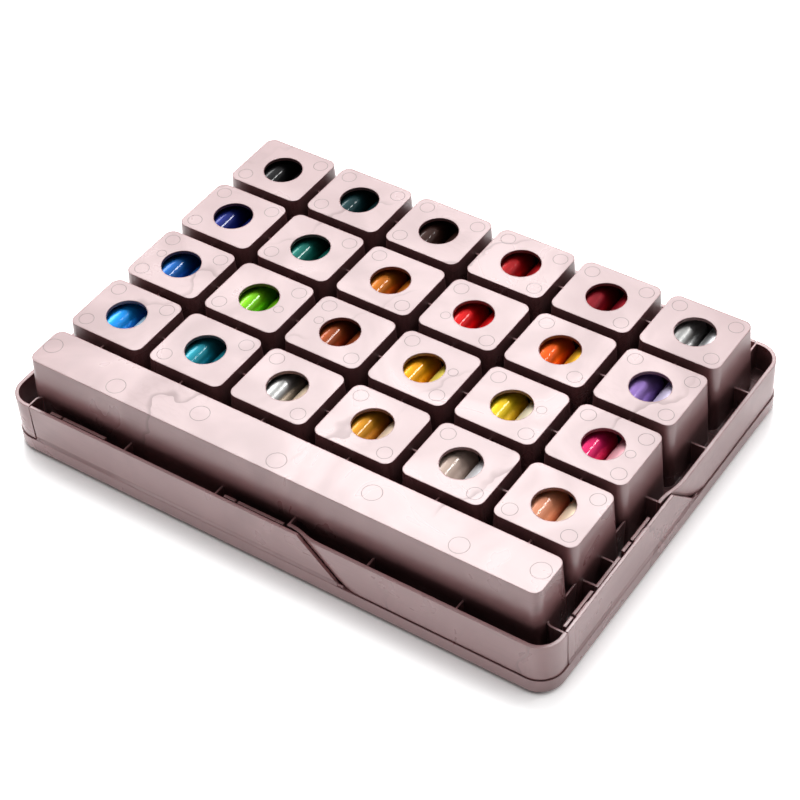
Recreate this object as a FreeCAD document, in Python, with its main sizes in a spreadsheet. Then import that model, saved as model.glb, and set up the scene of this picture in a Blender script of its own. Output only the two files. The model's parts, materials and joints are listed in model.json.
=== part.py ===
"""Bobbin box, lying on its lid with the floors of its cups up, as a parametric FreeCAD document.

A tray carries four rows of six tapered cups and one long trough, all hanging from a thin deck
inside a low skirt. A shallow lid snaps to it with four side panels that stand in a pinwheel, one
in the first half of each side. Two slim bobbins of thread lie side by side in every cup.

Millimetres. X runs along the box, Y across it toward the back, Z up. The origin is on the table,
under the middle of the lid.
"""
import FreeCAD
import Part
import Sketcher
import math
import os

COLUMNS = 6
ROWS = 4
SIDES = ("front", "right", "back", "left")

DRIVING_SIZES = (
    ("bobbin_dia", 12.4, "wound bobbin"),
    ("bobbin_len", 21.6, "length of a wound bobbin"),
    ("bobbin_gap", 0.6, "gap between the two bobbins in a cup"),
    ("bobbin_side_play", 0.25, "from a bobbin's side to the cup's wall, at the floor"),
    ("bobbin_end_play", 0.4, "from a bobbin's ends to the cup's walls, at the floor"),
    ("bobbin_room", 1.4, "from the inside of the cup floor down to the bobbins"),
    ("cup_gap_x", 3.7, "gap between neighbouring cups along the box, at the floors"),
    ("cup_gap_y", 3.8, "gap between neighbouring cups across the box, at the floors"),
    ("cup_corner", 3.0, "outside corner radius of cups and trough"),
    ("cup_flare", 1.15, "how much each side of a cup leans out down to the deck"),
    ("cup_wall", 1.2, "side wall of cups and trough"),
    ("cup_floor", 1.2, "floor of cups and trough"),
    ("cup_rise", 25.6, "from the deck up to the outside of the floors"),
    ("window_dia", 13.4, "round window in each cup floor"),
    ("trough_wid", 15.65, "trough along Y, outside, at its floor"),
    ("trough_gap", 4.2, "from the trough to the first row of cups, at the floors"),
    ("trough_edge", 0.8, "deck in front of the trough that belongs to it"),
    ("margin_end", 7.65, "from the outer cups to the end walls, at the floors"),
    ("margin_front", 6.5, "from the trough to the front wall, at the floors"),
    ("margin_back", 8.4, "from the last row to the back wall, at the floors"),
    ("lid_height", 6.2, "lid rim above the table"),
    ("lid_floor", 1.4, "floor of the lid"),
    ("lid_wall", 1.6, "rim wall of the lid"),
    ("lid_lip", 0.4, "how far the lid rim stands out past the skirt"),
    ("lid_round", 2.0, "rounding under the lid"),
    ("seam_gap", 0.3, "gap between the lid rim and the lower edge of the skirt"),
    ("skirt_rise", 14.3, "height of the skirt"),
    ("skirt_wall", 1.2, "wall of the skirt"),
    ("skirt_corner", 8.0, "outside corner radius of the skirt"),
    ("deck_drop", 3.7, "from the lower edge of the skirt up to the deck's top"),
    ("deck_thick", 1.2, "deck plate"),
    ("corner_run", 10.0, "how far the skirt goes on past each corner"),
    ("inset", 1.9, "how far the tray stays behind the outer face at a panel"),
    ("swing_len", 12.2, "length of the S curve that brings the skirt out again"),
    ("slant_run", 14.0, "run of the slanted end of a panel and of the skirt beside it"),
    ("swing_long", 9.2, "start of the S curve on the long sides, from their middle"),
    ("swing_short", -5.0, "start of the S curve on the short sides, from their middle"),
    ("panel_thick", 1.0, "lid panel"),
    ("panel_end", 4.6, "how far a panel's top edge goes on past the start of the S curve"),
    ("panel_seam", 0.3, "gap between a corner of the skirt and the panel, at the top"),
    ("panel_seam_foot", 0.7, "the same gap at the foot of the panel"),
    ("catch_thick", 1.0, "catch bar on the deck's edge, behind a panel"),
    ("catch_drop", 0.8, "from the rim of the skirt down to the catch bars"),
    ("catch_notch", 0.9, "notch in a catch bar, where the panel's bead begins"),
    ("catch_long", 22.4, "length of a catch bar on the long sides"),
    ("catch_short", 15.6, "length of a catch bar on the short sides"),
    ("lead_long", 7.3, "from the skirt's end to the first catch bar, on the long sides"),
    ("lead_short", 2.2, "from the skirt's end to the first catch bar, on the short sides"),
    ("tail_long", 1.9, "from the second catch bar to the S curve, on the long sides"),
    ("tail_short", 6.4, "from the second catch bar to the S curve, on the short sides"),
    ("bead_start", 5.2, "from the start of a catch bar to the panel's bead beside it"),
    ("bead_long", 8.0, "bead inside a panel, on the long sides"),
    ("bead_short", 6.0, "bead inside a panel, on the short sides"),
    ("bead_rise", 1.7, "height of a bead"),
    ("bead_clear", 0.3, "gap between a bead and the catch bar beside it"),
    ("fence_run", 2.6, "how far the low wall on the short sides goes on past its second rib"),
    ("stop_len", 1.6, "small stop on the lid rim, in the slanted gap"),
    ("stop_rise", 1.0, "height of that stop"),
    ("stop_clear", 0.25, "gap between that stop and the S curve"),
    ("rib_thick", 0.6, "ribs and webs of the tray"),
    ("cup_rib_drop", 3.4, "from the cup floors down to the ribs between cups"),
    ("margin_rib_drop", 1.6, "from the rim of the skirt down to the ribs in the margin"),
    ("web_out", 0.35, "how far the webs behind a panel stand out from the cups, at the floors"),
    ("corner_rib_bend", 2.0, "bend at the inner end of the ribs at the corners"),
    ("long_rib_a", -54.4, "first rib behind the panels of the long sides, from their middle"),
    ("long_rib_b", -18.5, "second rib behind the panels of the long sides"),
    ("long_rib_c", 37.8, "first rib behind the skirt of the long sides"),
    ("long_rib_d", 69.1, "second rib behind the skirt of the long sides"),
    ("short_rib_a", -42.0, "first rib behind the panels of the short sides, from their middle"),
    ("short_rib_b", -31.5, "second rib behind the panels of the short sides"),
    ("short_rib_c", 23.4, "first rib behind the skirt of the short sides"),
    ("short_rib_d", 51.7, "second rib behind the skirt of the short sides"),
)

# Worked out from the sizes above, in the order in which they need each other.
DERIVED_SIZES = (
    ("cup_len", "=2 * (bobbin_dia + bobbin_side_play + cup_wall) + bobbin_gap"),
    ("cup_wid", "=bobbin_len + 2 * (bobbin_end_play + cup_wall)"),
    ("pitch_x", "=cup_len + cup_gap_x"),
    ("pitch_y", "=cup_wid + cup_gap_y"),
    ("trough_len", f"=({COLUMNS} - 1) * pitch_x + cup_len"),
    ("box_len", "=trough_len + 2 * margin_end"),
    ("rows_wid", f"=({ROWS} - 1) * pitch_y + cup_wid"),
    ("box_wid", "=margin_front + trough_wid + trough_gap + rows_wid + margin_back"),
    ("skirt_low", "=lid_height + seam_gap"),
    ("rim_top", "=skirt_low + skirt_rise"),
    ("deck_top", "=skirt_low + deck_drop"),
    ("deck_low", "=deck_top - deck_thick"),
    ("floor_top", "=deck_top + cup_rise"),
    ("floor_low", "=floor_top - cup_floor"),
    ("first_row", "=margin_front + trough_wid + trough_gap + cup_wid / 2 - box_wid / 2"),
    ("trough_mid", "=margin_front + trough_wid / 2 - box_wid / 2"),
    ("core_front", "=trough_mid - trough_wid / 2 - cup_flare - trough_edge"),
    ("cups_front", "=first_row - pitch_y / 2"),
    ("core_back", f"=first_row + ({ROWS} - 0.5) * pitch_y"),
    ("core_len", f"={COLUMNS} * pitch_x"),
    ("rib_top", "=floor_top - cup_rib_drop"),
    ("margin_rib_top", "=rim_top - margin_rib_drop"),
    ("catch_top", "=rim_top - catch_drop"),
    ("bobbin_axis", "=floor_low - bobbin_room - bobbin_dia / 2"),
)

doc = FreeCAD.newDocument("bobbin_box")
sheet = doc.addObject("Spreadsheet::Sheet", "Sizes")


def fill_sheet():
    row = 1
    for alias, value, meaning in DRIVING_SIZES:
        sheet.set(f"A{row}", alias)
        sheet.set(f"B{row}", str(value))
        sheet.set(f"C{row}", meaning)
        sheet.setAlias(f"B{row}", alias)
        row += 1
    for alias, formula in DERIVED_SIZES:
        sheet.set(f"A{row}", alias)
        sheet.set(f"B{row}", formula)
        sheet.setAlias(f"B{row}", alias)
        row += 1
    doc.recompute()


def size(alias):
    return float(sheet.get(alias))


def cell(alias):
    return f"Sizes.{alias}"


def origin_plane(body, role):
    return next(item for item in body.Origin.OriginFeatures if item.Role == role)


def flat_sketch(body, name, height):
    """A sketch parallel to the table, at a height given by an expression."""
    sketch = body.newObject("Sketcher::SketchObject", name)
    sketch.AttachmentSupport = [(origin_plane(body, "XY_Plane"), "")]
    sketch.MapMode = "FlatFace"
    sketch.setExpression("AttachmentOffset.Base.z", height)
    return sketch


def bind(sketch, constraint, expression):
    index = sketch.addConstraint(constraint)
    sketch.setExpression(f"Constraints[{index}]", expression)


def draw_rounded_rectangle(sketch, length, width, radius, middle_y):
    """A rectangle with round corners, on the Y axis, from four expressions."""
    half_x = sketch.evalExpression(length) / 2
    half_y = sketch.evalExpression(width) / 2
    bend = sketch.evalExpression(radius)
    mid_y = sketch.evalExpression(middle_y)
    straight_x = half_x - bend
    straight_y = half_y - bend
    for quarter in range(4):
        turn = FreeCAD.Rotation(FreeCAD.Vector(0, 0, 1), 90 * quarter)
        along, across = (straight_x, half_y) if quarter % 2 == 0 else (straight_y, half_x)
        start = turn.multVec(FreeCAD.Vector(-along, -across, 0))
        end = turn.multVec(FreeCAD.Vector(along, -across, 0))
        corner = turn.multVec(FreeCAD.Vector(along, bend - across, 0))
        shift = FreeCAD.Vector(0, mid_y, 0)
        sketch.addGeometry(Part.LineSegment(start + shift, end + shift))
        circle = Part.Circle(corner + shift, FreeCAD.Vector(0, 0, 1), bend)
        first = math.radians(90 * quarter - 90)
        sketch.addGeometry(Part.ArcOfCircle(circle, first, first + math.pi / 2))
    for edge in range(8):
        following = (edge + 1) % 8
        sketch.addConstraint(Sketcher.Constraint("Tangent", edge, 2, following, 1))
    for edge in (0, 4):
        sketch.addConstraint(Sketcher.Constraint("Horizontal", edge))
    for edge in (2, 6):
        sketch.addConstraint(Sketcher.Constraint("Vertical", edge))
    for arc in (3, 5, 7):
        sketch.addConstraint(Sketcher.Constraint("Equal", 1, arc))
    bind(sketch, Sketcher.Constraint("Radius", 1, bend), radius)
    bind(sketch, Sketcher.Constraint("DistanceX", 6, 1, 2, 1, 2 * half_x), length)
    bind(sketch, Sketcher.Constraint("DistanceY", 0, 1, 4, 1, 2 * half_y), width)
    bind(sketch, Sketcher.Constraint("DistanceX", -1, 1, 2, 1, half_x), f"({length}) / 2")
    bind(sketch, Sketcher.Constraint("DistanceY", -1, 1, 4, 1, mid_y + half_y),
         f"({middle_y}) + ({width}) / 2")


def draw_rectangle(sketch, length, low_y, high_y):
    """A plain rectangle, centred in X, between two expressions in Y."""
    half_x = sketch.evalExpression(length) / 2
    low = sketch.evalExpression(low_y)
    high = sketch.evalExpression(high_y)
    corners = [FreeCAD.Vector(-half_x, low, 0), FreeCAD.Vector(half_x, low, 0),
               FreeCAD.Vector(half_x, high, 0), FreeCAD.Vector(-half_x, high, 0)]
    for index in range(4):
        sketch.addGeometry(Part.LineSegment(corners[index], corners[(index + 1) % 4]))
    for edge in range(4):
        sketch.addConstraint(Sketcher.Constraint("Coincident", edge, 2, (edge + 1) % 4, 1))
    for edge in (0, 2):
        sketch.addConstraint(Sketcher.Constraint("Horizontal", edge))
    for edge in (1, 3):
        sketch.addConstraint(Sketcher.Constraint("Vertical", edge))
    bind(sketch, Sketcher.Constraint("DistanceX", 0, 1, 0, 2, 2 * half_x), length)
    bind(sketch, Sketcher.Constraint("DistanceX", -1, 1, 0, 2, half_x), f"({length}) / 2")
    bind(sketch, Sketcher.Constraint("DistanceY", -1, 1, 0, 1, low), low_y)
    bind(sketch, Sketcher.Constraint("DistanceY", -1, 1, 2, 1, high), high_y)


def add_pad(body, sketch, length):
    pad = body.newObject("PartDesign::Pad", f"{sketch.Name}_pad")
    pad.Profile = sketch
    pad.setExpression("Length", length)
    sketch.Visibility = False
    return pad


def add_pocket(body, sketch, depth, upward):
    pocket = body.newObject("PartDesign::Pocket", f"{sketch.Name}_pocket")
    pocket.Profile = sketch
    pocket.setExpression("Length", depth)
    pocket.Reversed = upward
    doc.recompute()
    return pocket


def add_loft(body, kind, low_sketch, high_sketch):
    loft = body.newObject(f"PartDesign::{kind}", f"{low_sketch.Name}_loft")
    loft.Profile = low_sketch
    loft.Sections = [high_sketch]
    loft.Ruled = True
    doc.recompute()
    return loft


def new_body(name):
    body = doc.addObject("PartDesign::Body", name)
    body.Label = name
    return body


def tapered_form(body, stem, kind, length, width, radius, middle_y, low, high, flare):
    """A loft between a wide rounded rectangle at the deck and a narrower one at the floor."""
    mouth = flat_sketch(body, f"{stem}_mouth", low)
    draw_rounded_rectangle(mouth, f"{length} + 2 * {flare}", f"{width} + 2 * {flare}",
                           radius, middle_y)
    floor = flat_sketch(body, f"{stem}_floor", high)
    draw_rounded_rectangle(floor, length, width, radius, middle_y)
    return add_loft(body, kind, mouth, floor)


def hollow_form(name, length, width, middle_y, tile_len, tile_low_y, tile_high_y):
    """A tapered cup with its floor up, open below, with the piece of deck it hangs from."""
    body = new_body(name)
    tile = flat_sketch(body, f"{name}_tile", cell("deck_low"))
    draw_rectangle(tile, tile_len, tile_low_y, tile_high_y)
    add_pad(body, tile, cell("deck_thick"))
    tapered_form(body, f"{name}_outside", "AdditiveLoft", length, width, cell("cup_corner"),
                 middle_y, cell("deck_low"), cell("floor_top"), cell("cup_flare"))
    both_walls = "2 * Sizes.cup_wall"
    inner_corner = "Sizes.cup_corner - Sizes.cup_wall"
    tapered_form(body, f"{name}_inside", "SubtractiveLoft", f"{length} - {both_walls}",
                 f"{width} - {both_walls}", inner_corner, middle_y,
                 cell("deck_low"), cell("floor_low"), cell("cup_flare"))
    return body


def cut_window(body):
    sketch = flat_sketch(body, "window", cell("floor_top"))
    radius = size("window_dia") / 2
    sketch.addGeometry(Part.Circle(FreeCAD.Vector(), FreeCAD.Vector(0, 0, 1), radius))
    sketch.addConstraint(Sketcher.Constraint("Coincident", 0, 3, -1, 1))
    bind(sketch, Sketcher.Constraint("Diameter", 0, 2 * radius), cell("window_dia"))
    add_pocket(body, sketch, cell("cup_floor"), False)


def filled_form(name, length, width, middle_y):
    """The outside of a cup as a full block from the deck up, to trim ribs against it."""
    body = new_body(name)
    tapered_form(body, name, "AdditiveLoft", length, width, cell("cup_corner"), middle_y,
                 cell("deck_low"), cell("floor_top"), cell("cup_flare"))
    return body


def column_x(column):
    return (column - (COLUMNS - 1) / 2) * size("pitch_x")


def row_y(row):
    return size("first_row") + row * size("pitch_y")


def make_feature(name, shape):
    feature = doc.addObject("Part::Feature", name)
    feature.Label = name
    feature.Shape = shape
    return feature


def copies_in_row(form, row):
    """One copy of a form per column, in one row of the grid."""
    return [form.Shape.translated(FreeCAD.Vector(column_x(column), row_y(row), 0))
            for column in range(COLUMNS)]


def side_span(side):
    """Length of a side of the box, and where its S curve starts."""
    if side in ("front", "back"):
        return size("box_len"), size("swing_long")
    return size("box_wid"), size("swing_short")


def to_side(shape, side):
    """Carry a shape from side coordinates (along, in from the outer face, up) to the box."""
    half_len = size("box_len") / 2
    half_wid = size("box_wid") / 2
    middles = {"front": (0, -half_wid), "right": (half_len, 0),
               "back": (0, half_wid), "left": (-half_len, 0)}
    middle = FreeCAD.Vector(*middles[side], 0)
    turn = FreeCAD.Rotation(FreeCAD.Vector(0, 0, 1), 90 * SIDES.index(side))
    placed = shape.copy()
    placed.Placement = FreeCAD.Placement(middle, turn).multiply(placed.Placement)
    return placed


def upright_slab(corners, near, far):
    """A plate with an outline of (along, up) corners, from one depth to another."""
    points = [FreeCAD.Vector(along, near, up) for along, up in corners]
    outline = Part.makePolygon(points + points[:1])
    return Part.Face(outline).extrude(FreeCAD.Vector(0, far - near, 0))


def side_box(start, end, near, far, low, high):
    corner = FreeCAD.Vector(start, near, low)
    return Part.makeBox(end - start, far - near, high - low, corner)


def slanted_along(start_at_rim, up):
    """Where a slanted edge that starts at the rim lies at a given height."""
    return start_at_rim + size("slant_run") * (size("rim_top") - up) / size("skirt_rise")


def panel_relief(side):
    """What the skirt and the deck give up on one side to make room for the lid's panel."""
    span, swing = side_span(side)
    start = size("corner_run") - span / 2
    end = swing + size("swing_len")
    low = 0
    high = size("rim_top") + size("skirt_wall")
    corners = [(start, low), (slanted_along(end, low), low), (slanted_along(end, high), high),
               (start, high)]
    return to_side(upright_slab(corners, -size("skirt_wall"), size("inset")), side)


def swing_radius():
    """Radius of the two equal arcs that the S curve is made of."""
    return (size("swing_len") ** 2 + size("inset") ** 2) / (4 * size("inset"))


def swing_depth(run):
    """How deep the S curve's outer face lies, some way past its start."""
    radius = swing_radius()
    if run < size("swing_len") / 2:
        return size("inset") - radius + math.sqrt(radius ** 2 - run ** 2)
    return radius - math.sqrt(radius ** 2 - (size("swing_len") - run) ** 2)


def s_curve(start, depth_shift):
    """Two arcs in plan that bring a face from the inset out to the outer plane."""
    inset = size("inset")
    run = size("swing_len")
    radius = swing_radius()
    turn = math.asin(run / 2 / radius)
    low = size("skirt_low")

    def at(along, depth):
        return FreeCAD.Vector(along, depth + depth_shift, low)

    def first_arc(angle):
        return at(start + radius * math.sin(angle), inset - radius * (1 - math.cos(angle)))

    def second_arc(angle):
        return at(start + run - radius * math.sin(angle), radius * (1 - math.cos(angle)))

    return [Part.Arc(first_arc(0), first_arc(turn / 2), first_arc(turn)),
            Part.Arc(second_arc(turn), second_arc(turn / 2), second_arc(0))]


def swing_wall(side):
    """The skirt's S curve, leaning like the panel's end, with its flat start behind the panel."""
    span, swing = side_span(side)
    wall = size("skirt_wall")
    inset = size("inset")
    low = size("skirt_low")
    foot = swing + size("slant_run")
    tail = foot + size("swing_len") + wall
    outer = s_curve(foot, 0)
    inner = s_curve(foot, wall)
    flat_start = FreeCAD.Vector(swing, inset, low)
    flat_back = FreeCAD.Vector(swing, inset + wall, low)
    tail_out = FreeCAD.Vector(tail, 0, low)
    tail_in = FreeCAD.Vector(tail, wall, low)
    edges = [Part.LineSegment(flat_start, outer[0].StartPoint), outer[0], outer[1],
             Part.LineSegment(outer[1].EndPoint, tail_out),
             Part.LineSegment(tail_out, tail_in),
             Part.LineSegment(tail_in, inner[1].EndPoint), inner[1], inner[0],
             Part.LineSegment(inner[0].StartPoint, flat_back),
             Part.LineSegment(flat_back, flat_start)]
    ordered = Part.__sortEdges__([edge.toShape() for edge in edges])
    lean = FreeCAD.Vector(-size("slant_run"), 0, size("skirt_rise"))
    leaning = Part.Face(Part.Wire(ordered)).extrude(lean)
    behind = side_box(swing - span, swing - size("rib_thick") / 2, -wall, span,
                      0, size("floor_top"))
    return to_side(leaning.cut(behind), side)


def catch_places(side):
    """Starts of the two catch bars behind a panel, and their length and their bead's."""
    span, swing = side_span(side)
    stem = "long" if side in ("front", "back") else "short"
    length = size(f"catch_{stem}")
    first = size("corner_run") - span / 2 + size(f"lead_{stem}")
    second = swing - size(f"tail_{stem}") - length
    return (first, second), length, size(f"bead_{stem}")


def catch_bars(side):
    """Low walls at the deck's edge, each with a notch where the panel's bead begins."""
    near = size("inset")
    far = near + size("catch_thick")
    high = size("catch_top")
    starts, length, _ = catch_places(side)
    bars = []
    for start in starts:
        bar = side_box(start, start + length, near, far, size("deck_low"), high)
        notch_end = start + size("bead_start")
        notch = side_box(notch_end - size("catch_notch"), notch_end, near, far,
                         high - size("bead_rise"), high)
        bars.append(to_side(bar.cut(notch), side))
    return bars


def fence(side):
    """The low wall that ties two ribs together between the catch bars of a short side."""
    near = size("inset")
    return to_side(side_box(size("short_rib_a") - size("rib_thick") / 2,
                            size("short_rib_b") + size("fence_run"),
                            near, near + size("catch_thick"),
                            size("deck_low"), size("margin_rib_top")), side)


def make_skirt():
    """Skirt and margin of the deck as one ring, before the panels' places are cut out of it."""
    body = new_body("skirt")
    outline = flat_sketch(body, "skirt_outline", cell("skirt_low"))
    draw_rounded_rectangle(outline, cell("box_len"), cell("box_wid"), cell("skirt_corner"), "0")
    add_pad(body, outline, cell("skirt_rise"))
    inner_len = "Sizes.box_len - 2 * Sizes.skirt_wall"
    inner_wid = "Sizes.box_wid - 2 * Sizes.skirt_wall"
    inner_corner = "Sizes.skirt_corner - Sizes.skirt_wall"
    above = flat_sketch(body, "skirt_above_deck", cell("rim_top"))
    draw_rounded_rectangle(above, inner_len, inner_wid, inner_corner, "0")
    add_pocket(body, above, "Sizes.rim_top - Sizes.deck_top", False)
    below = flat_sketch(body, "skirt_below_deck", cell("skirt_low"))
    draw_rounded_rectangle(below, inner_len, inner_wid, inner_corner, "0")
    add_pocket(body, below, "Sizes.deck_low - Sizes.skirt_low", True)
    middle = flat_sketch(body, "skirt_middle", cell("deck_top"))
    draw_rectangle(middle, cell("core_len"), cell("core_front"), cell("core_back"))
    add_pocket(body, middle, cell("deck_thick"), False)
    return body


def make_rim(skirt):
    """The tray's skirt with room for the panels, its S curves and its catch bars."""
    shape = skirt.Shape.cut([panel_relief(side) for side in SIDES])
    additions = []
    for side in SIDES:
        additions.append(swing_wall(side))
        additions += catch_bars(side)
        if side in ("right", "left"):
            additions.append(fence(side))
    return make_feature("tray_rim", shape.fuse(additions).removeSplitter())


def ribs_between_cups():
    """Thin upright plates in the middle of every gap between cups, and to the trough."""
    thick = size("rib_thick")
    low = size("deck_top")
    height = size("rib_top") - low
    ribs = []
    for row in range(ROWS):
        for column in range(COLUMNS):
            here = FreeCAD.Vector(column_x(column), row_y(row), low)
            if column + 1 < COLUMNS:
                corner = here - FreeCAD.Vector(0, thick / 2, 0)
                ribs.append(Part.makeBox(size("pitch_x"), thick, height, corner))
            reach = size("pitch_y") if row else here.y - size("trough_mid")
            corner = here - FreeCAD.Vector(thick / 2, reach, 0)
            ribs.append(Part.makeBox(thick, reach, height, corner))
    return ribs


def margin_rib(side, along, near, high):
    """A plate from the skirt, or from the deck's edge, in to the cups."""
    half = size("rib_thick") / 2
    far = max(size("margin_end"), size("margin_front"), size("margin_back"))
    return to_side(side_box(along - half, along + half, near, far, size("deck_top"), high), side)


def corner_rib(side):
    """The rib at the end of the skirt past a corner, bent along the side at its inner end."""
    span = side_span(side)[0]
    margins = {"front": size("margin_front"), "back": size("margin_back")}
    thick = size("rib_thick")
    bend = size("corner_rib_bend")
    low = size("deck_top")
    high = size("rim_top")
    start = size("corner_run") - span / 2 - thick
    wall_depth = margins.get(side, size("margin_end")) - size("cup_flare") / 2
    turn_depth = wall_depth - bend
    straight = side_box(start, start + thick, size("skirt_wall"), turn_depth, low, high)
    centre = FreeCAD.Vector(start + thick + bend, turn_depth, low)
    up = FreeCAD.Vector(0, 0, 1)
    outer = Part.makeCylinder(bend + thick, high - low, centre, up, 90)
    inner = Part.makeCylinder(bend, high - low, centre, up, 90)
    quarter = outer.cut(inner)
    quarter.rotate(centre, up, 90)
    return to_side(straight.fuse(quarter), side)


def ribs_in_margin():
    ribs = []
    wall = size("skirt_wall")
    inset = size("inset")
    low_top = size("margin_rib_top")
    for side in SIDES:
        swing = side_span(side)[1]
        ribs.append(corner_rib(side))
        ribs.append(margin_rib(side, swing, inset + wall, size("rim_top")))
        if side in ("front", "back"):
            stem, panel_edge = "long", inset
        else:
            stem, panel_edge = "short", inset + size("catch_thick")
        for letter, near in (("a", panel_edge), ("b", panel_edge), ("c", wall), ("d", wall)):
            ribs.append(margin_rib(side, size(f"{stem}_rib_{letter}"), near, low_top))
    return ribs


def gap_places(side):
    """Middles of the gaps between neighbouring cups that face one side, along that side."""
    rows = [row_y(row) + size("pitch_y") / 2 for row in range(ROWS - 1)]
    trough_gap = row_y(0) - size("cup_wid") / 2 - size("trough_gap") / 2
    columns = [column_x(column) + size("pitch_x") / 2 for column in range(COLUMNS - 1)]
    return {"front": [], "right": [trough_gap] + rows,
            "back": [-place for place in columns],
            "left": [-place for place in rows + [trough_gap]]}[side]


def webs_behind_panels():
    """Plates along the side that close the gaps between the outer cups where no skirt stands."""
    thick = size("rib_thick")
    reach = size("cup_corner") + size("trough_gap")
    webs = []
    for side in SIDES:
        span, swing = side_span(side)
        start = size("corner_run") - span / 2
        margin = size("margin_back") if side == "back" else size("margin_end")
        depth = margin - size("web_out")
        for place in gap_places(side):
            if start < place < swing:
                web = side_box(place - reach, place + reach, depth, depth + thick,
                               size("deck_top"), size("rim_top"))
                webs.append(to_side(web, side))
    return webs


def make_ribs(blocks):
    """All ribs and webs of the tray, each trimmed to the cups and the trough it meets."""
    plates = []
    for rib in ribs_between_cups() + ribs_in_margin() + webs_behind_panels():
        close = [block for block in blocks if block.BoundBox.intersect(rib.BoundBox)]
        trimmed = rib.cut(close) if close else rib
        plates += trimmed.Solids
    return make_feature("tray_ribs", Part.makeCompound(plates))


def make_lid_pan():
    """The lid itself: a shallow pan, round underneath."""
    body = new_body("lid_pan")
    length = "Sizes.box_len + 2 * Sizes.lid_lip"
    width = "Sizes.box_wid + 2 * Sizes.lid_lip"
    corner = "Sizes.skirt_corner + Sizes.lid_lip"
    outline = flat_sketch(body, "lid_outline", "0")
    draw_rounded_rectangle(outline, length, width, corner, "0")
    pad = add_pad(body, outline, cell("lid_height"))
    doc.recompute()
    low_edges = [f"Edge{index + 1}" for index, edge in enumerate(pad.Shape.Edges)
                 if edge.BoundBox.ZMax < size("lid_height") / 2]
    rounding = body.newObject("PartDesign::Fillet", "lid_rounding")
    rounding.Base = (pad, low_edges)
    rounding.setExpression("Radius", cell("lid_round"))
    doc.recompute()
    inside = flat_sketch(body, "lid_inside", cell("lid_height"))
    draw_rounded_rectangle(inside, f"{length} - 2 * Sizes.lid_wall",
                           f"{width} - 2 * Sizes.lid_wall", f"{corner} - Sizes.lid_wall", "0")
    add_pocket(body, inside, "Sizes.lid_height - Sizes.lid_floor", False)
    return body


def lid_panel(side):
    """A side panel of the lid: upright at the corner, slanted at its free end."""
    span, swing = side_span(side)
    foot = size("lid_floor")
    low = size("lid_height")
    high = size("rim_top")
    start = size("corner_run") - span / 2
    end = swing + size("panel_end")
    corners = [(start + size("panel_seam_foot"), foot),
               (slanted_along(end, low), foot),
               (slanted_along(end, low), low),
               (end, high),
               (start + size("panel_seam"), high),
               (start + size("panel_seam_foot"), low)]
    return to_side(upright_slab(corners, 0, size("panel_thick")), side)


def panel_beads(side):
    """Beads inside a panel, each beside a catch bar and just clear of it."""
    near = size("panel_thick")
    far = size("inset") - size("bead_clear")
    high = size("catch_top")
    starts, _, length = catch_places(side)
    beads = []
    for start in starts:
        bead_start = start + size("bead_start")
        bead = side_box(bead_start, bead_start + length, near, far,
                        high - size("bead_rise"), high)
        beads.append(to_side(bead, side))
    return beads


def gap_stop(side):
    """The small stop on the lid's rim at the foot of the slanted gap."""
    swing = side_span(side)[1]
    low = size("lid_height")
    high = low + size("stop_rise")
    panel_foot = slanted_along(swing + size("panel_end"), low)
    end = panel_foot + size("stop_len")
    depth = swing_depth(end - slanted_along(swing, high)) - size("stop_clear")
    stop = side_box(panel_foot - size("panel_thick"), end, 0, depth, size("lid_floor"), high)
    return to_side(stop, side)


def make_lid():
    pan = make_lid_pan()
    doc.recompute()
    additions = []
    for side in SIDES:
        additions.append(lid_panel(side))
        additions += panel_beads(side)
        additions.append(gap_stop(side))
    return make_feature("lid", pan.Shape.fuse(additions).removeSplitter())


def make_bobbin(row, column, place):
    """One wound bobbin, lying along Y on the left or the right of its cup."""
    name = f"bobbin_row{row + 1}_col{column + 1}_{place}"
    bobbin = doc.addObject("Part::Cylinder", name)
    bobbin.Label = name
    bobbin.setExpression("Radius", "Sizes.bobbin_dia / 2")
    bobbin.setExpression("Height", cell("bobbin_len"))
    bobbin.Placement.Rotation = FreeCAD.Rotation(FreeCAD.Vector(1, 0, 0), -90)
    sign = "-" if place == "left" else "+"
    offset = column - (COLUMNS - 1) / 2
    bobbin.setExpression("Placement.Base.x", f"({offset}) * Sizes.pitch_x {sign} "
                         "(Sizes.bobbin_dia + Sizes.bobbin_gap) / 2")
    bobbin.setExpression("Placement.Base.y", f"Sizes.first_row + {row} * Sizes.pitch_y "
                         "- Sizes.bobbin_len / 2")
    bobbin.setExpression("Placement.Base.z", cell("bobbin_axis"))
    return bobbin


def check_document():
    for item in doc.Objects:
        if "Invalid" in item.State or "Error" in item.State:
            raise RuntimeError(f"{item.Label} failed: {item.State}")


def write_parts(parts):
    for part in parts:
        if part.Shape.isNull() or not part.Shape.isValid() or not part.Shape.Solids:
            raise RuntimeError(f"{part.Label} has no sound solid")
    os.makedirs("parts", exist_ok=True)
    for part in parts:
        part.Shape.exportStep(f"parts/{part.Label}.step")


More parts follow.
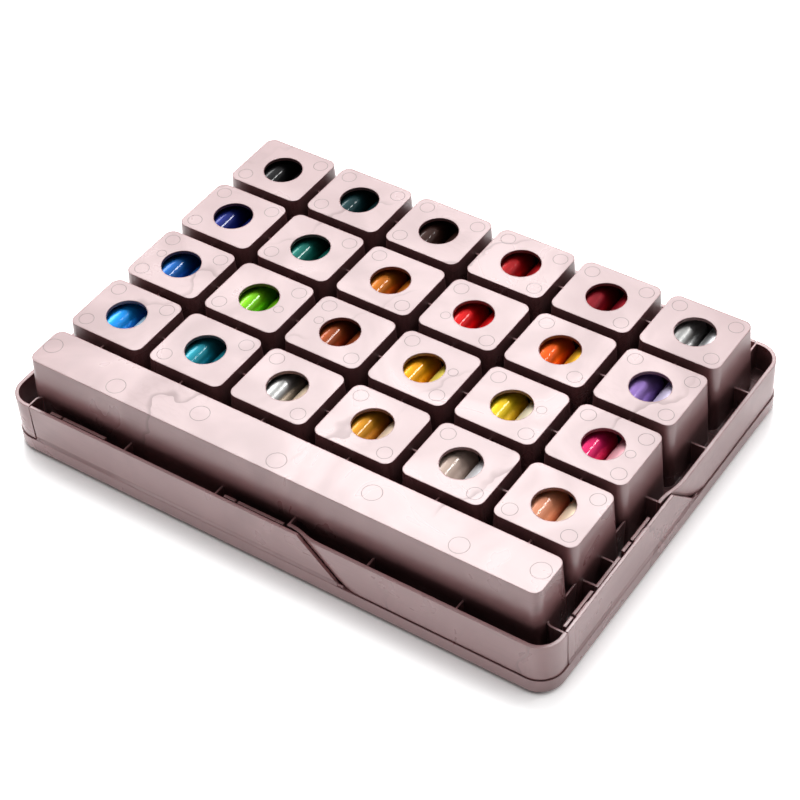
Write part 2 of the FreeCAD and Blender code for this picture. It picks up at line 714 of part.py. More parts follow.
def main():
    fill_sheet()
    half_pitch = "Sizes.pitch_y / 2"
    cup = hollow_form("cup", cell("cup_len"), cell("cup_wid"), "0",
                      cell("pitch_x"), f"-{half_pitch}", half_pitch)
    cut_window(cup)
    trough = hollow_form("tray_trough", cell("trough_len"), cell("trough_wid"),
                         cell("trough_mid"), cell("core_len"), cell("core_front"),
                         cell("cups_front"))
    cup_block = filled_form("cup_block", cell("cup_len"), cell("cup_wid"), "0")
    trough_block = filled_form("trough_block", cell("trough_len"), cell("trough_wid"),
                               cell("trough_mid"))
    skirt = make_skirt()
    doc.recompute()
    blocks = [trough_block.Shape]
    parts = [trough]
    for row in range(ROWS):
        blocks += copies_in_row(cup_block, row)
        cups = Part.makeCompound(copies_in_row(cup, row))
        parts.append(make_feature(f"tray_cups_row{row + 1}", cups))
    parts.append(make_rim(skirt))
    parts.append(make_ribs(blocks))
    parts.append(make_lid())
    for row in range(ROWS):
        for column in range(COLUMNS):
            parts += [make_bobbin(row, column, place) for place in ("left", "right")]
    doc.recompute()
    check_document()
    write_parts(parts)


main()
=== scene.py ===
"""Looks of the bobbin box: pearly moulded plastic, wound thread, moulding marks, light and camera.

Sizes are in millimetres and become metres where geometry is made. Every piece stands in the frame
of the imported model, with the box lying on its lid and the trough along X at the front.
"""
import json
import math

import bmesh
import bpy
from mathutils import Matrix, Vector


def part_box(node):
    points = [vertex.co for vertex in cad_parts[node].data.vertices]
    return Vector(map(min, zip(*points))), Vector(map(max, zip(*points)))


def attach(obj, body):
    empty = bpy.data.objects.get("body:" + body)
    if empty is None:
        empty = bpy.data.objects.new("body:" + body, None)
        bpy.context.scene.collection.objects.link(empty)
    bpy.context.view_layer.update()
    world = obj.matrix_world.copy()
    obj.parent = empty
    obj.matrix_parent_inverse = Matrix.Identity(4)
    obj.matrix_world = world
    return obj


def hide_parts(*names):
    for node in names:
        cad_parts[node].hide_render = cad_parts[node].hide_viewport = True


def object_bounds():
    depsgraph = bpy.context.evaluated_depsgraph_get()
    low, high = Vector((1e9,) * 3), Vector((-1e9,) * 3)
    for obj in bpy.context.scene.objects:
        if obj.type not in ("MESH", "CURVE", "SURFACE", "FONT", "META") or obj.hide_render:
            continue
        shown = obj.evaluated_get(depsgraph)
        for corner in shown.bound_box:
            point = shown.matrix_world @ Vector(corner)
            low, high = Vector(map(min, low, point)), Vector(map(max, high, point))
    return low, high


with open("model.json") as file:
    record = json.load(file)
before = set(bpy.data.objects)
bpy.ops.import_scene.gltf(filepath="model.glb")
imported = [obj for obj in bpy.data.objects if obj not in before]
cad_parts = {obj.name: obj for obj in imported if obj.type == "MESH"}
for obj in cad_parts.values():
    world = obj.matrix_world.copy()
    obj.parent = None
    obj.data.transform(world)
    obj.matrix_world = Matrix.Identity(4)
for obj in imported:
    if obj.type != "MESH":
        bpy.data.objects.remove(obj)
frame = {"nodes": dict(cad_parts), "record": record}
cad_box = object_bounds()

MM = 0.001
ROWS = 4
COLUMNS = 6
PLASTIC_NODES = [name for name in frame["nodes"] if not name.startswith("bobbin")]
BOBBIN_NODES = [name for name in frame["nodes"] if name.startswith("bobbin")]
SLOT_OF = {part["node"]: part["material_slot"] for part in frame["record"]["subparts"]}

PLASTIC_COLOUR = (0.42, 0.205, 0.21)
MARK_COLOUR = (0.13, 0.065, 0.065)
# The pale shades sky, pale_peach, light_grey, pale_yellow, cream, pink and lavender dress the
# right-hand bobbin of a cup. Each is set between its cup-mate's colour and that colour's highlight,
# so its lightness is partly thread colour and partly painted highlight.
THREAD_COLOURS = {
    "bright_blue": (0.005, 0.30, 0.85),
    "sky": (0.50, 0.75, 0.93),
    "turquoise": (0.008, 0.26, 0.34),
    "silver_black": (0.46, 0.46, 0.45),
    "gold_brown": (0.66, 0.28, 0.012),
    "taupe": (0.72, 0.55, 0.46),
    "peach": (0.97, 0.38, 0.21),
    "pale_peach": (0.95, 0.74, 0.54),
    "light_grey": (0.75, 0.74, 0.76),
    "blue": (0.004, 0.11, 0.40),
    "lime": (0.20, 0.60, 0.006),
    "copper": (0.34, 0.065, 0.012),
    "golden_yellow": (0.93, 0.40, 0.003),
    "pale_yellow": (0.93, 0.76, 0.12),
    "yellow": (0.93, 0.64, 0.012),
    "cream": (0.93, 0.83, 0.60),
    "magenta": (0.80, 0.015, 0.15),
    "pink": (0.93, 0.46, 0.52),
    "navy": (0.004, 0.014, 0.17),
    "teal": (0.003, 0.15, 0.12),
    "ochre": (0.56, 0.16, 0.008),
    "red": (0.74, 0.003, 0.005),
    "orange": (0.93, 0.12, 0.004),
    "yellow_orange": (0.93, 0.50, 0.03),
    "purple": (0.32, 0.19, 0.55),
    "lavender": (0.72, 0.64, 0.86),
    "black": (0.004, 0.004, 0.005),
    "dark_teal": (0.003, 0.035, 0.04),
    "dark_brown": (0.035, 0.010, 0.006),
    "dark_red": (0.42, 0.003, 0.006),
    "burgundy": (0.28, 0.002, 0.012),
    "silver": (0.90, 0.90, 0.92),
}

# The ring marks of ejector pins and gates on the cup floors, row by row from the trough. A pin is
# named by its corner: U and L for the back and the front, then L and R for -X and +X. A gate is
# given by its row, its column and its place from the cup's middle.
PIN_REACH_X = 10.0
PIN_REACH_Y = 8.25
PIN_DIAMETER = 4.9
TROUGH_PIN_DIAMETER = 6.3
GATE_DIAMETER = 3.2
RING_WIDTH = 0.24
RING_RISE = 0.02
CORNERS = {"UL": (-1, 1), "UR": (1, 1), "LL": (-1, -1), "LR": (1, -1)}
PINS = (
    ("UL UR LL", "UR LL", "UL LR", "UL LR", "UL LR", "UR LL LR"),
    ("UL UR LL", "UR LL", "UL LR", "UL LR", "UL LR", "UL UR LR"),
    ("UL UR LL", "UR LL", "UL LR", "UL LR", "UL LR", "UL UR LR"),
    ("UR LL", "UL UR LL", "UL UR LL", "UL UR LR", "UL UR LR", "UL UR LR"),
)
GATES = (
    (1, 0, -9.0, 1.0),
    (1, 1, 8.8, -1.5),
    (1, 2, -9.0, 1.0),
    (1, 3, 8.8, 2.8),
    (1, 4, 8.8, 2.8),
    (1, 5, 9.0, 0.5),
    (2, 3, -7.5, -5.0),
)
TROUGH_PINS = (-91.0, -62.0, -32.0, 0.0, 32.0, 65.0, 90.0)
TROUGH_PIN_SHIFTS = (0.6, -3.4)

# The photograph's camera, seen from the box's own frame.
CAMERA_AZIMUTH = 36.65
CAMERA_ELEVATION = 44.52
CAMERA_ROLL = -3.99
CAMERA_DISTANCE = 670.4
CAMERA_TARGET = (17.44, -21.13, 35.8)
CAMERA_LENS = 98.49
SENSOR_WIDTH = 36.0


class Nodes:
    """A material's node tree, with short calls to add and join its nodes."""

    def __init__(self, name):
        self.material = bpy.data.materials.new(name)
        self.material.use_nodes = True
        self.tree = self.material.node_tree
        self.tree.nodes.clear()
        self.out = self.tree.nodes.new("ShaderNodeOutputMaterial")

    def add(self, kind, inputs=None, **settings):
        node = self.tree.nodes.new(f"ShaderNode{kind}")
        for key, value in settings.items():
            setattr(node, key, value)
        for key, value in (inputs or {}).items():
            self.feed(node.inputs[key], value)
        return node

    def feed(self, socket, value):
        if isinstance(value, bpy.types.NodeSocket):
            self.tree.links.new(value, socket)
        else:
            socket.default_value = value

    def math(self, operation, first, second=0.0):
        return self.add("Math", {0: first, 1: second}, operation=operation).outputs[0]

    def ramp(self, value, low, high, to_low=0.0, to_high=1.0):
        """A smooth step from one value to another while the input goes from low to high."""
        node = self.add("MapRange", {"Value": value, "From Min": low, "From Max": high,
                                     "To Min": to_low, "To Max": to_high},
                        interpolation_type="SMOOTHSTEP")
        return node.outputs["Result"]

    def mix(self, factor, first, second, blend="MIX"):
        node = self.add("MixRGB", {"Fac": factor, "Color1": first, "Color2": second},
                        blend_type=blend)
        return node.outputs["Color"]

    def place(self, scale, turn=0.0):
        """Coordinates that stay with the piece, in the box's frame, turned about Z if asked."""
        coordinates = self.add("TexCoord").outputs["Object"]
        return self.add("Mapping", {"Vector": coordinates, "Scale": scale,
                                    "Rotation": (0.0, 0.0, turn)}).outputs["Vector"]

    def noise(self, place, scale, detail=2.0, distortion=0.0):
        node = self.add("TexNoise", {"Vector": place, "Scale": scale, "Detail": detail,
                                     "Distortion": distortion})
        return node.outputs["Fac"]


def shade(colour, factor):
    return tuple(channel * factor for channel in colour) + (1.0,)


# The plastic: sizes of its patterns (per metre), how much the edges are lightened as a painted
# highlight, and how far into the gaps between the cups the painted shade in the nooks reaches.
PEARL_IOR = 1.85
MARBLE_SCALE = 26.0
CLOUD_SCALE = 9.0
GRAIN_SCALE = 2600.0
SMEAR_SCALE = 75.0
SMEAR_PATCHES = 31.0
WELD_SCALE = 7.3
WELD_PATCHES = 28.0
WELD_TURN = math.radians(24.0)
TRAY_WELD_PHASE = 2.3
LID_WELD_PHASE = 4.4
DRAG_SCALE = 1500.0
EDGE_ROUND = 0.45
MARK_EDGE_ROUND = 0.02
FILLET_EDGE_ROUND = 0.05
EDGE_PAINTED_HIGHLIGHT = 0.5
NOOK_REACH = 14.0
PAINTED_NOOK_SHADE = 0.9
UNSTRETCHED = (1.0, 1.0, 1.0)


def pearl_plastic(name, colour, edge_round, weld_phase, painted_edge_highlight=EDGE_PAINTED_HIGHLIGHT, painted_nook_shade=0.0):
    """Moulded plastic with a pearl pigment: marbled, with dark weld lines where the flow met.

    The round edges come from the Bevel node, and so does their paler line, a painted highlight
    where the rounding catches the light. The painted shade in the nooks is for pieces that stay
    together when the box opens.
    """
    nodes = Nodes(name)
    place = nodes.place(UNSTRETCHED)
    marble = nodes.noise(place, MARBLE_SCALE, 3.0, 1.6)
    cloud = nodes.noise(place, CLOUD_SCALE, 2.0, 0.6)
    grain = nodes.noise(place, GRAIN_SCALE, 1.0)
    smear = nodes.noise(nodes.place((1.0, 1.6, 1.0)), SMEAR_SCALE, 4.0, 2.2)
    smear = nodes.ramp(nodes.math("ABSOLUTE", nodes.math("SUBTRACT", smear, 0.5)), 0.0, 0.05,
                       1.0, 0.0)
    patches = nodes.ramp(nodes.noise(place, SMEAR_PATCHES, 1.0), 0.56, 0.70)
    smear = nodes.math("MULTIPLY", smear, patches)
    weld = nodes.add("TexWave", {"Vector": nodes.place(UNSTRETCHED, WELD_TURN),
                                 "Scale": WELD_SCALE, "Distortion": 1.7, "Detail": 2.0,
                                 "Detail Scale": 9.0, "Phase Offset": weld_phase},
                     wave_type="BANDS", bands_direction="X", wave_profile="SAW")
    weld = nodes.ramp(weld.outputs["Fac"], 0.95, 1.0)
    patches = nodes.ramp(nodes.noise(place, WELD_PATCHES, 2.0), 0.46, 0.62)
    weld = nodes.math("MULTIPLY", weld, patches)
    drag = nodes.noise(nodes.place((0.03, 0.03, 1.0)), DRAG_SCALE, 2.0)
    base = nodes.mix(nodes.ramp(marble, 0.30, 0.70), shade(colour, 0.86), shade(colour, 1.10))
    base = nodes.mix(nodes.ramp(cloud, 0.35, 0.65, 0.0, 0.6), base, shade(colour, 1.0))
    base = nodes.mix(nodes.math("MULTIPLY", grain, 0.10), base, shade(colour, 1.12))
    base = nodes.mix(nodes.ramp(drag, 0.55, 0.75, 0.0, 0.22), base, shade(colour, 0.70))
    base = nodes.mix(nodes.math("MULTIPLY", smear, 0.09), base, shade(colour, 0.5))
    base = nodes.mix(nodes.math("MULTIPLY", weld, 0.45), base, shade(colour, 0.34))
    # Painted shade: where ambient occlusion finds close walls, as in the gaps between the cups, the
    # base colour darkens towards near black.
    if painted_nook_shade:
        nook = nodes.add("AmbientOcclusion", {"Distance": NOOK_REACH * MM}, samples=4)
        nook = nodes.ramp(nook.outputs["AO"], 0.05, 0.65, painted_nook_shade, 0.0)
        base = nodes.mix(nook, base, shade(colour, 0.12))
    rounded = nodes.add("Bevel", {"Radius": edge_round * MM}, samples=4)
    flat = nodes.add("NewGeometry").outputs["Normal"]
    along = nodes.add("VectorMath", {0: rounded.outputs["Normal"], 1: flat},
                      operation="DOT_PRODUCT")
    edge = nodes.ramp(along.outputs["Value"], 0.90, 0.995, 1.0, 0.0)
    # Painted highlight: along the rounded edges the base colour is lightened towards twice its
    # tone, where the edges catch the light.
    base = nodes.mix(nodes.math("MULTIPLY", edge, painted_edge_highlight), base, shade(colour, 2.0))
    dull = nodes.math("MAXIMUM", weld, nodes.math("MULTIPLY", smear, 0.25))
    rough = nodes.math("ADD", nodes.ramp(marble, 0.30, 0.70, 0.335, 0.265),
                       nodes.math("MULTIPLY", dull, 0.11))
    height = nodes.math("SUBTRACT", nodes.math("MULTIPLY", grain, 0.25),
                        nodes.math("MULTIPLY", weld, 0.2))
    bump = nodes.add("Bump", {"Strength": 0.12, "Distance": 0.05 * MM, "Height": height,
                              "Normal": rounded.outputs["Normal"]})
    shader = nodes.add("BsdfPrincipled", {"Base Color": base, "Roughness": rough,
                                          "IOR": PEARL_IOR, "Normal": bump.outputs["Normal"]})
    nodes.tree.links.new(shader.outputs["BSDF"], nodes.out.inputs["Surface"])
    return nodes.material


TURNS_SCALE = 900.0
STREAKS_SCALE = 700.0
ROUGH_SPREAD = 0.06


def wound_thread(name, colour, lustre, rough_least):
    """Bright lustre thread: fine turns round the bobbin and a little unevenness along it."""
    nodes = Nodes(name)
    turns = nodes.add("TexWave", {"Vector": nodes.place(UNSTRETCHED), "Scale": TURNS_SCALE,
                                  "Distortion": 1.2, "Detail": 1.0, "Detail Scale": 0.4},
                      wave_type="BANDS", bands_direction="Y", wave_profile="SIN")
    turns = turns.outputs["Fac"]
    streaks = nodes.noise(nodes.place((1.0, 0.06, 1.0)), STREAKS_SCALE, 2.0)
    base = nodes.mix(nodes.math("MULTIPLY", turns, 0.25), shade(colour, 1.0), shade(colour, 0.78))
    base = nodes.mix(nodes.ramp(streaks, 0.35, 0.75, 0.0, 0.25), base, shade(colour, 1.06))
    rough = nodes.ramp(streaks, 0.25, 0.75, rough_least, rough_least + ROUGH_SPREAD)
    bump = nodes.add("Bump", {"Strength": 0.04, "Distance": 0.03 * MM, "Height": turns})
    shader = nodes.add("BsdfPrincipled", {"Base Color": base, "Roughness": rough,
                                          "Metallic": lustre, "Sheen Weight": 0.1,
                                          "Sheen Roughness": 0.35,
                                          "Sheen Tint": shade(colour, 1.0),
                                          "Coat Weight": 0.5, "Coat Roughness": 0.06,
                                          "Normal": bump.outputs["Normal"]})
    nodes.tree.links.new(shader.outputs["BSDF"], nodes.out.inputs["Surface"])
    return nodes.material


def mesh_object(name, mesh, material):
    piece = bpy.data.objects.new(name, mesh)
    bpy.context.scene.collection.objects.link(piece)
    mesh.materials.append(material)
    return piece


def smooth(mesh):
    for polygon in mesh.polygons:
        polygon.use_smooth = True


def middle_of(node):
    low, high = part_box(node)
    return (low + high) / 2


# The bobbins: their form, and how metallic and how rough their threads are.
SAME_PLACE = 1e-6
CORE_RADIUS = 3.0
BORE_RADIUS = 2.1
BORE_DEPTH = 4.0
BORE_LIP = 0.2
CORE_LIP = 0.1
CORE_SLOPE = (0.2, 0.4)
SHOULDER = 1.1
SHOULDER_STEPS = 4
END_EDGE = 0.05
WINDING_SIDES = 40
WINDING_STEPS = 27
WINDING_WAVE = 0.035
WAVE_TURNS = 4.5
LUSTRE = 0.7
METAL_LUSTRE = 0.95
THREAD_ROUGH = 0.42
METAL_ROUGH = 0.31
PALE_LUSTRE = 0.3
PALE_SHADES = ("sky", "pale_peach", "light_grey", "pale_yellow", "cream", "pink", "lavender",
               "taupe", "peach")


def winding_mesh(length, radius):
    """A wound bobbin along Y: card core with its bore, soft shoulders and a crossed winding."""
    half = length / 2
    ends = [(0.0, BORE_DEPTH - half), (BORE_RADIUS, BORE_DEPTH - half),
            (BORE_RADIUS, BORE_LIP - half), (CORE_RADIUS, CORE_LIP - half),
            (CORE_RADIUS + CORE_SLOPE[0], CORE_SLOPE[1] - half)]
    for step in range(SHOULDER_STEPS + 1):
        turn = math.radians(90 * step / SHOULDER_STEPS)
        ends.append((radius - SHOULDER * (1 - math.sin(turn)),
                     END_EDGE + SHOULDER * (1 - math.cos(turn)) - half))
    run = half - SHOULDER - END_EDGE
    body = [(radius, -run + 2 * run * step / WINDING_STEPS) for step in range(1, WINDING_STEPS)]
    outline = ends + body + [(r, -y) for r, y in reversed(ends)]
    wave_from = len(ends)
    wave_to = len(ends) + len(body)
    form = bmesh.new()
    rings = []
    for index, (r, y) in enumerate(outline):
        ring = []
        for side in range(WINDING_SIDES):
            angle = 2 * math.pi * side / WINDING_SIDES
            reach = r
            if wave_from <= index < wave_to:
                phase = WAVE_TURNS * 2 * math.pi * y / length
                reach -= WINDING_WAVE * (1 - math.cos(phase + angle) * math.cos(phase - angle)) / 2
            ring.append(form.verts.new((reach * math.sin(angle) * MM, y * MM,
                                        reach * math.cos(angle) * MM)))
        rings.append(ring)
    for low, high in zip(rings, rings[1:]):
        for side in range(WINDING_SIDES):
            after = (side + 1) % WINDING_SIDES
            form.faces.new((low[side], low[after], high[after], high[side]))
    bmesh.ops.remove_doubles(form, verts=form.verts, dist=SAME_PLACE)
    bmesh.ops.recalc_face_normals(form, faces=form.faces)
    mesh = bpy.data.meshes.new("winding")
    form.to_mesh(mesh)
    form.free()
    smooth(mesh)
    return mesh


def lustre_of(slot):
    """Silver thread is metal, the pale shades are plain, and the rest have a metallic lustre."""
    if "silver" in slot:
        return METAL_LUSTRE
    return PALE_LUSTRE if slot.removeprefix("thread_") in PALE_SHADES else LUSTRE


def make_bobbins():
    low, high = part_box(BOBBIN_NODES[0])
    length = (high.y - low.y) / MM
    radius = (high.x - low.x) / 2 / MM
    form = winding_mesh(length, radius)
    finishes = {}
    for node in BOBBIN_NODES:
        slot = SLOT_OF[node]
        if slot not in finishes:
            colour = THREAD_COLOURS[slot.removeprefix("thread_")]
            rough_least = METAL_ROUGH if "silver" in slot else THREAD_ROUGH
            finishes[slot] = wound_thread(slot, colour, lustre_of(slot), rough_least)
        piece = mesh_object(node.replace("bobbin", "winding"), form.copy(), finishes[slot])
        piece.location = middle_of(node)
        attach(piece, node)
        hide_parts(node)


RING_SIDES = 36


def add_ring(form, middle, diameter):
    """A fine raised line round a pin's or a gate's place, on a face that looks up."""
    radius = diameter / 2
    section = ((radius - RING_WIDTH / 2, -RING_RISE), (radius - RING_WIDTH / 4, RING_RISE),
               (radius + RING_WIDTH / 4, RING_RISE), (radius + RING_WIDTH / 2, -RING_RISE))
    rings = []
    for side in range(RING_SIDES):
        angle = 2 * math.pi * side / RING_SIDES
        rings.append([form.verts.new(middle + Vector((reach * math.cos(angle),
                                                      reach * math.sin(angle), rise)) * MM)
                      for reach, rise in section])
    for index, ring in enumerate(rings):
        following = rings[(index + 1) % RING_SIDES]
        for corner in range(len(section)):
            after = (corner + 1) % len(section)
            form.faces.new((ring[corner], following[corner], following[after], ring[after]))


def mark_piece(name, places, material):
    """One piece for all ring marks of a node, from (middle, diameter) pairs."""
    form = bmesh.new()
    for middle, diameter in places:
        add_ring(form, middle, diameter)
    bmesh.ops.recalc_face_normals(form, faces=form.faces)
    mesh = bpy.data.meshes.new(name)
    form.to_mesh(mesh)
    form.free()
    smooth(mesh)
    piece = mesh_object(name, mesh, material)
    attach(piece, "tray")


def make_marks(material):
    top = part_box("tray_trough")[1].z
    for row in range(ROWS):
        low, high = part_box(f"tray_cups_row{row + 1}")
        pitch = (high.x - low.x) / COLUMNS
        places = []
        for column in range(COLUMNS):
            middle = Vector((low.x + (column + 0.5) * pitch, (low.y + high.y) / 2, top))
            for corner in PINS[row][column].split():
                way_x, way_y = CORNERS[corner]
                shift = Vector((way_x * PIN_REACH_X, way_y * PIN_REACH_Y, 0)) * MM
                places.append((middle + shift, PIN_DIAMETER))
            for gate_row, gate_column, shift_x, shift_y in GATES:
                if (gate_row, gate_column) == (row, column):
                    shift = Vector((shift_x, shift_y, 0)) * MM
                    places.append((middle + shift, GATE_DIAMETER))
        mark_piece(f"marks_row{row + 1}", places, material)
    low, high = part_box("tray_trough")
    front_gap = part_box("tray_cups_row1")[0].y
    trough_mid = (low.y + front_gap) / 2
    places = []
    for index, along in enumerate(TROUGH_PINS):
        shift = TROUGH_PIN_SHIFTS[index % 2] * MM
        places.append((Vector((along * MM, trough_mid + shift, top)), TROUGH_PIN_DIAMETER))
    mark_piece("marks_trough", places, material)


# The soft fillet at the foot of each lid panel: where the panels begin and end along their sides,
# and the rim's ledge that the fillet fills.
LEDGE_HEIGHT = 6.2
LEDGE_WIDTH = 0.4
FILLET_RISE = 1.5
FILLET_STEPS = 6
FILLET_ROOT = 0.2
FILLET_INSET = 0.01
FILLET_SINK = 0.02
PANEL_RUNS = {"front": (-91.2, 27.6), "right": (-62.1, 13.4),
              "back": (-91.2, 27.6), "left": (-62.1, 13.4)}
PANEL_TURNS = {"front": 0.0, "right": 90.0, "back": 180.0, "left": 270.0}


def fillet_outline():
    """Section of the fillet as (outward, height) from the panel's face."""
    curve = []
    for step in range(FILLET_STEPS + 1):
        share = step / FILLET_STEPS
        curve.append(((LEDGE_WIDTH - FILLET_INSET) * (1 - share) ** 2,
                      LEDGE_HEIGHT + FILLET_RISE * share))
    foot = (-FILLET_ROOT, LEDGE_HEIGHT - FILLET_SINK)
    return [foot] + curve + [(-FILLET_ROOT, LEDGE_HEIGHT + FILLET_RISE)]


def make_panel_fillets(material):
    low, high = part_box("lid")
    half = {"front": -low.y, "right": high.x, "back": high.y, "left": -low.x}
    outline = fillet_outline()
    for side, (start, end) in PANEL_RUNS.items():
        face = half[side] / MM - LEDGE_WIDTH
        turn = Matrix.Rotation(math.radians(PANEL_TURNS[side]), 4, "Z")
        form = bmesh.new()
        ends = [[form.verts.new(turn @ Vector((along, -face - out, height)) * MM)
                 for out, height in outline] for along in (start, end)]
        count = len(outline)
        for corner in range(count):
            after = (corner + 1) % count
            form.faces.new((ends[0][corner], ends[1][corner], ends[1][after], ends[0][after]))
        form.faces.new(ends[0])
        form.faces.new(list(reversed(ends[1])))
        bmesh.ops.recalc_face_normals(form, faces=form.faces)
        mesh = bpy.data.meshes.new(f"panel_fillet_{side}")
        form.to_mesh(mesh)
        form.free()
        for polygon in mesh.polygons:
            polygon.use_smooth = len(polygon.vertices) == 4
        piece = mesh_object(f"panel_fillet_{side}", mesh, material)
        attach(piece, "lid")


def dress_plastic(tray_material, lid_material):
    for name in PLASTIC_NODES:
        for slot in frame["nodes"][name].material_slots:
            slot.material = lid_material if name == "lid" else tray_material


def seen_directly(tree):
    """1 for what the camera sees, also in gloss and through clear things, else 0."""
    path = tree.nodes.new("ShaderNodeLightPath")
    total = None
    for output in ("Is Camera Ray", "Is Glossy Ray", "Is Transmission Ray"):
        if total is None:
            total = path.outputs[output]
            continue
        either = tree.nodes.new("ShaderNodeMath")
        either.operation = "MAXIMUM"
        tree.links.new(total, either.inputs[0])
        tree.links.new(path.outputs[output], either.inputs[1])
        total = either.outputs[0]
    return total


FLOOR_SIZE = 30.0
FLOOR_DROP = 0.1
FLOOR_ALBEDO = 0.94
FLOOR_LIFT = 0.85
CONTACT_REACH = 28.0
CONTACT_FADE = 6.0
SHADE_FRONT = 0.05
SHADE_RIGHT = 0.55


def make_floor():
    """A white floor with a soft contact shadow, weaker on the right where the light reaches."""
    bpy.ops.mesh.primitive_plane_add(size=FLOOR_SIZE, location=(0, 0, -FLOOR_DROP * MM))
    floor = bpy.context.object
    floor.name = "floor"
    nodes = Nodes("pale_floor")
    speck = nodes.noise(nodes.place(UNSTRETCHED), 30.0, 2.0)
    tone = nodes.mix(nodes.ramp(speck, 0.3, 0.7), shade((1, 1, 1), FLOOR_ALBEDO),
                     shade((1, 1, 1), FLOOR_ALBEDO * 1.01))
    diffuse = nodes.add("BsdfDiffuse", {"Color": tone})
    lift = nodes.add("Emission", {"Color": (1, 1, 1, 1)})
    near = nodes.add("AmbientOcclusion", {"Distance": CONTACT_REACH * MM}, samples=8)
    across = nodes.add("SeparateXYZ", {"Vector": nodes.place(UNSTRETCHED)}).outputs["X"]
    right_edge = cad_box[1][0]
    darkest = nodes.ramp(across, right_edge - CONTACT_FADE * MM, right_edge + CONTACT_FADE * MM / 2,
                         SHADE_FRONT, SHADE_RIGHT)
    open_share = nodes.ramp(near.outputs["AO"], 0.30, 0.88, darkest, 1.0)
    strength = nodes.math("MULTIPLY", seen_directly(nodes.tree), FLOOR_LIFT)
    strength = nodes.math("MULTIPLY", strength, open_share)
    nodes.feed(lift.inputs["Strength"], strength)
    both = nodes.add("AddShader", {0: diffuse.outputs[0], 1: lift.outputs[0]})
    nodes.tree.links.new(both.outputs[0], nodes.out.inputs["Surface"])
    floor.data.materials.append(nodes.material)


WORLD_LIGHT = 0.012
WORLD_SEEN = 0.5


def make_world():
    world = bpy.data.worlds.new("studio")
    bpy.context.scene.world = world
    world.use_nodes = True
    tree = world.node_tree
    tree.nodes.clear()
    out = tree.nodes.new("ShaderNodeOutputWorld")
    background = tree.nodes.new("ShaderNodeBackground")
    background.inputs["Color"].default_value = (1, 1, 1, 1)
    strength = tree.nodes.new("ShaderNodeMapRange")
    strength.inputs["To Min"].default_value = WORLD_LIGHT
    strength.inputs["To Max"].default_value = WORLD_SEEN
    tree.links.new(seen_directly(tree), strength.inputs["Value"])
    tree.links.new(strength.outputs["Result"], background.inputs["Strength"])
    tree.links.new(background.outputs["Background"], out.inputs["Surface"])


def lamp_at(name, place, facing, width, height, radiance):
    """A soft box of a given size and brightness, whose face looks along a direction."""
    lamp = bpy.data.lights.new(name, "AREA")
    lamp.shape = "RECTANGLE"
    lamp.size = width
    lamp.size_y = height
    lamp.energy = radiance * math.pi * width * height
    holder = bpy.data.objects.new(name, lamp)
    holder.location = place
    holder.rotation_euler = (-facing).to_track_quat("Z", "Y").to_euler()
    holder.visible_camera = False
    bpy.context.scene.collection.objects.link(holder)


def soft_light(name, azimuth, elevation, distance, size, radiance):
    """A square soft box that looks at the box from an azimuth, measured from +X, and a height."""
    a = math.radians(azimuth)
    e = math.radians(elevation)
    toward = Vector((math.cos(a) * math.cos(e), math.sin(a) * math.cos(e), math.sin(e)))
    lamp_at(name, toward * distance, -toward, size, size, radiance)


# Each soft box: name, azimuth, elevation, distance and size in metres, and brightness.
SOFT_BOXES = (
    ("key", 126.0, 50.0, 4.0, 1.75, 9.0),
    ("high", 118.0, 71.0, 4.0, 1.0, 14.0),
    ("left", 168.0, 55.0, 4.0, 1.4, 3.0),
    ("glint", 55.0, 46.0, 4.0, 0.40, 30.0),
    ("edge", 300.0, 80.0, 4.0, 0.3, 18.0),
    ("front", 262.0, 8.0, 3.0, 2.0, 0.15),
)
STRIP_WIDTH = 0.07
STRIP_LIGHT = 0.21
RIGHT_STRIP_LIGHT = 0.08


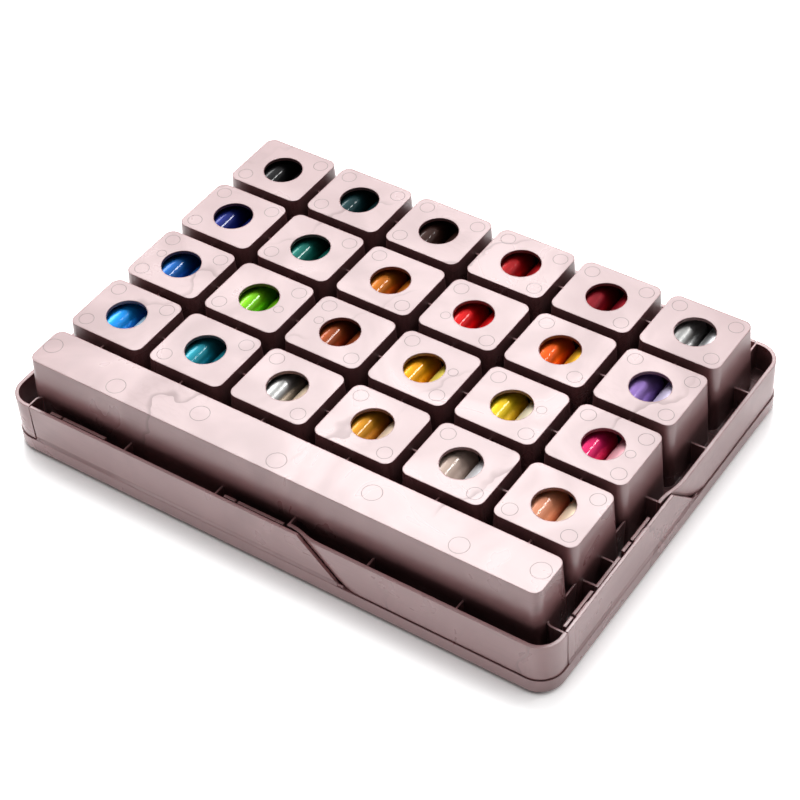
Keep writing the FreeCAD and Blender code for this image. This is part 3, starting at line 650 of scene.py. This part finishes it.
def make_lights():
    """Large soft boxes at the back and the left, small ones beside them, and low floor strips."""
    for soft_box in SOFT_BOXES:
        soft_light(*soft_box)
    low, high = cad_box
    up = Vector((0, 0, 1))
    for name, side, light in (("strip_right", 1, RIGHT_STRIP_LIGHT),
                              ("strip_left", -1, STRIP_LIGHT)):
        reach = (high[0] if side > 0 else -low[0]) + STRIP_WIDTH / 2
        lamp_at(name, Vector((side * reach, 0, MM)), up, STRIP_WIDTH, high[1] - low[1], light)
    for name, side in (("strip_back", 1), ("strip_front", -1)):
        reach = (high[1] if side > 0 else -low[1]) + STRIP_WIDTH / 2
        lamp_at(name, Vector((0, side * reach, MM)), up, high[0] - low[0], STRIP_WIDTH, STRIP_LIGHT)


def make_camera():
    a = math.radians(CAMERA_AZIMUTH)
    e = math.radians(CAMERA_ELEVATION)
    roll = math.radians(CAMERA_ROLL)
    level = Vector((math.cos(a), math.sin(a), 0))
    forward = Vector((-math.sin(a) * math.cos(e), math.cos(a) * math.cos(e), -math.sin(e)))
    upright = level.cross(forward)
    right = level * math.cos(roll) + upright * math.sin(roll)
    up = upright * math.cos(roll) - level * math.sin(roll)
    turn = Matrix((right, up, -forward)).transposed()
    data = bpy.data.cameras.new("camera")
    data.sensor_fit = "HORIZONTAL"
    data.sensor_width = SENSOR_WIDTH
    data.lens = CAMERA_LENS
    camera = bpy.data.objects.new("camera", data)
    place = Vector(CAMERA_TARGET) * MM - forward * CAMERA_DISTANCE * MM
    camera.matrix_world = Matrix.Translation(place) @ turn.to_4x4()
    bpy.context.scene.collection.objects.link(camera)
    bpy.context.scene.camera = camera


bpy.context.scene.view_settings.view_transform = "Standard"
lid_plastic = pearl_plastic("pearl_lid", PLASTIC_COLOUR, EDGE_ROUND, LID_WELD_PHASE)
tray_plastic = pearl_plastic("pearl_tray", PLASTIC_COLOUR, EDGE_ROUND, TRAY_WELD_PHASE,
                             painted_nook_shade=PAINTED_NOOK_SHADE)
dress_plastic(tray_plastic, lid_plastic)
make_marks(pearl_plastic("witness_line", MARK_COLOUR, MARK_EDGE_ROUND, TRAY_WELD_PHASE,
                         painted_edge_highlight=0.0))
make_panel_fillets(pearl_plastic("pearl_fillet", PLASTIC_COLOUR, FILLET_EDGE_ROUND,
                                 LID_WELD_PHASE))
make_bobbins()
make_floor()
make_world()
make_lights()
make_camera()
